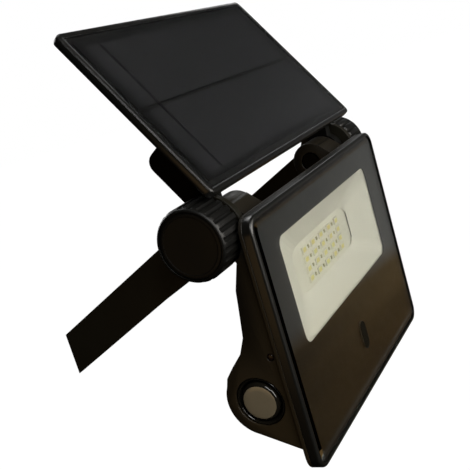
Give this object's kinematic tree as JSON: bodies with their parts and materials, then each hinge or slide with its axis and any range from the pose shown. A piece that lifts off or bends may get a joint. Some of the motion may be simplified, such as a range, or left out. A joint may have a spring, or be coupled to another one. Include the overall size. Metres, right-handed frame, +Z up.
{
  "type": "solar flood light",
  "caption": "Wall-mounted solar flood light: rectangular lamp head and tilting solar panel on one pivot, clamped by two side knobs to a U-shaped wall bracket.",
  "frame": {"origin": "centre of the wall bracket's base bar, on the face that lies against the wall", "axes": "+Y into the wall, +Z up, +X towards the right-hand clamping knob as the lamp's front is seen"},
  "size_m": [0.224, 0.1455, 0.248],
  "materials": {
    "painted_steel": "satin black powder coat",
    "zinc_steel": "zinc plated",
    "black_abs": "fine moulded black",
    "gloss_black": "gloss black",
    "clear_glass": "clear toughened",
    "white_optic": "white optical",
    "led_phosphor": "phosphor yellow",
    "chip_black": "black moulded",
    "green_board": "epoxy board",
    "black_rubber": "matt",
    "cell_wrap": "shrink-wrapped",
    "solar_cell": "dark monocrystalline",
    "smoked_lens": "smoked, clear to infra-red",
    "button_cap": "translucent smoke",
    "indicator_red": "red tinted",
    "brass_insert": "turned",
    "silver_ribbon": "tinned"
  },
  "bodies": {
    "bracket": {"wall_bracket": "painted_steel", "left_pivot_bolt": "zinc_steel", "right_pivot_bolt": "zinc_steel", "left_friction_washer": "black_rubber", "right_friction_washer": "black_rubber"},
    "left_clamp_knob": {"left_knob": "black_abs", "left_knob_cap": "black_abs", "left_knob_insert": "brass_insert"},
    "right_clamp_knob": {"right_knob": "black_abs", "right_knob_cap": "black_abs", "right_knob_insert": "brass_insert"},
    "lamp_head": {"rear_housing": "black_abs", "front_bezel": "black_abs", "front_glass": "clear_glass", "glass_print": "gloss_black", "housing_gasket": "black_rubber", "reflector": "white_optic", "led_board": "white_optic", "led_array": "led_phosphor", "left_battery_cell": "cell_wrap", "right_battery_cell": "cell_wrap", "battery_holder": "black_abs", "control_board": "green_board", "sensor_board": "green_board", "daylight_sensor": "smoked_lens", "sensor_window": "smoked_lens", "button_ring": "gloss_black", "button_switch": "black_abs", "indicator_lens": "indicator_red", "housing_screw_1": "zinc_steel", "housing_screw_2": "zinc_steel", "housing_screw_3": "zinc_steel", "housing_screw_4": "zinc_steel", "housing_screw_5": "zinc_steel"},
    "mode_button": {"power_button": "button_cap", "switch_plunger": "chip_black"},
    "panel_head": {"panel_frame": "black_abs", "panel_backing": "chip_black", "lower_cells": "solar_cell", "upper_cells": "solar_cell", "cell_ribbon": "silver_ribbon", "panel_glazing": "clear_glass", "left_neck": "black_abs", "right_neck": "black_abs", "left_neck_screw_1": "zinc_steel", "left_neck_screw_2": "zinc_steel", "right_neck_screw_1": "zinc_steel", "right_neck_screw_2": "zinc_steel"}
  },
  "joints": [
    {"name": "lamp_tilt", "type": "hinge", "parent": "bracket", "child": "lamp_head", "pos_m": [0, -0.117, 0.05669], "axis": [1, 0, 0], "range_deg": [-12, 40]},
    {"name": "panel_tilt", "type": "hinge", "parent": "bracket", "child": "panel_head", "pos_m": [0, -0.117, 0.05669], "axis": [1, 0, 0], "range_deg": [-50, 12]},
    {"name": "left_knob_turn", "type": "hinge", "parent": "bracket", "child": "left_clamp_knob", "pos_m": [-0.1, -0.117, 0.05669], "axis": [-1, 0, 0], "continuous": true},
    {"name": "right_knob_turn", "type": "hinge", "parent": "bracket", "child": "right_clamp_knob", "pos_m": [0.1, -0.117, 0.05669], "axis": [1, 0, 0], "continuous": true},
    {"name": "button_press", "type": "slide", "parent": "lamp_head", "child": "mode_button", "axis": [1, 0, 0], "range_m": [0, 0.0015], "stiffness_N_per_m": 500, "springref_m": -0.002}
  ]
}
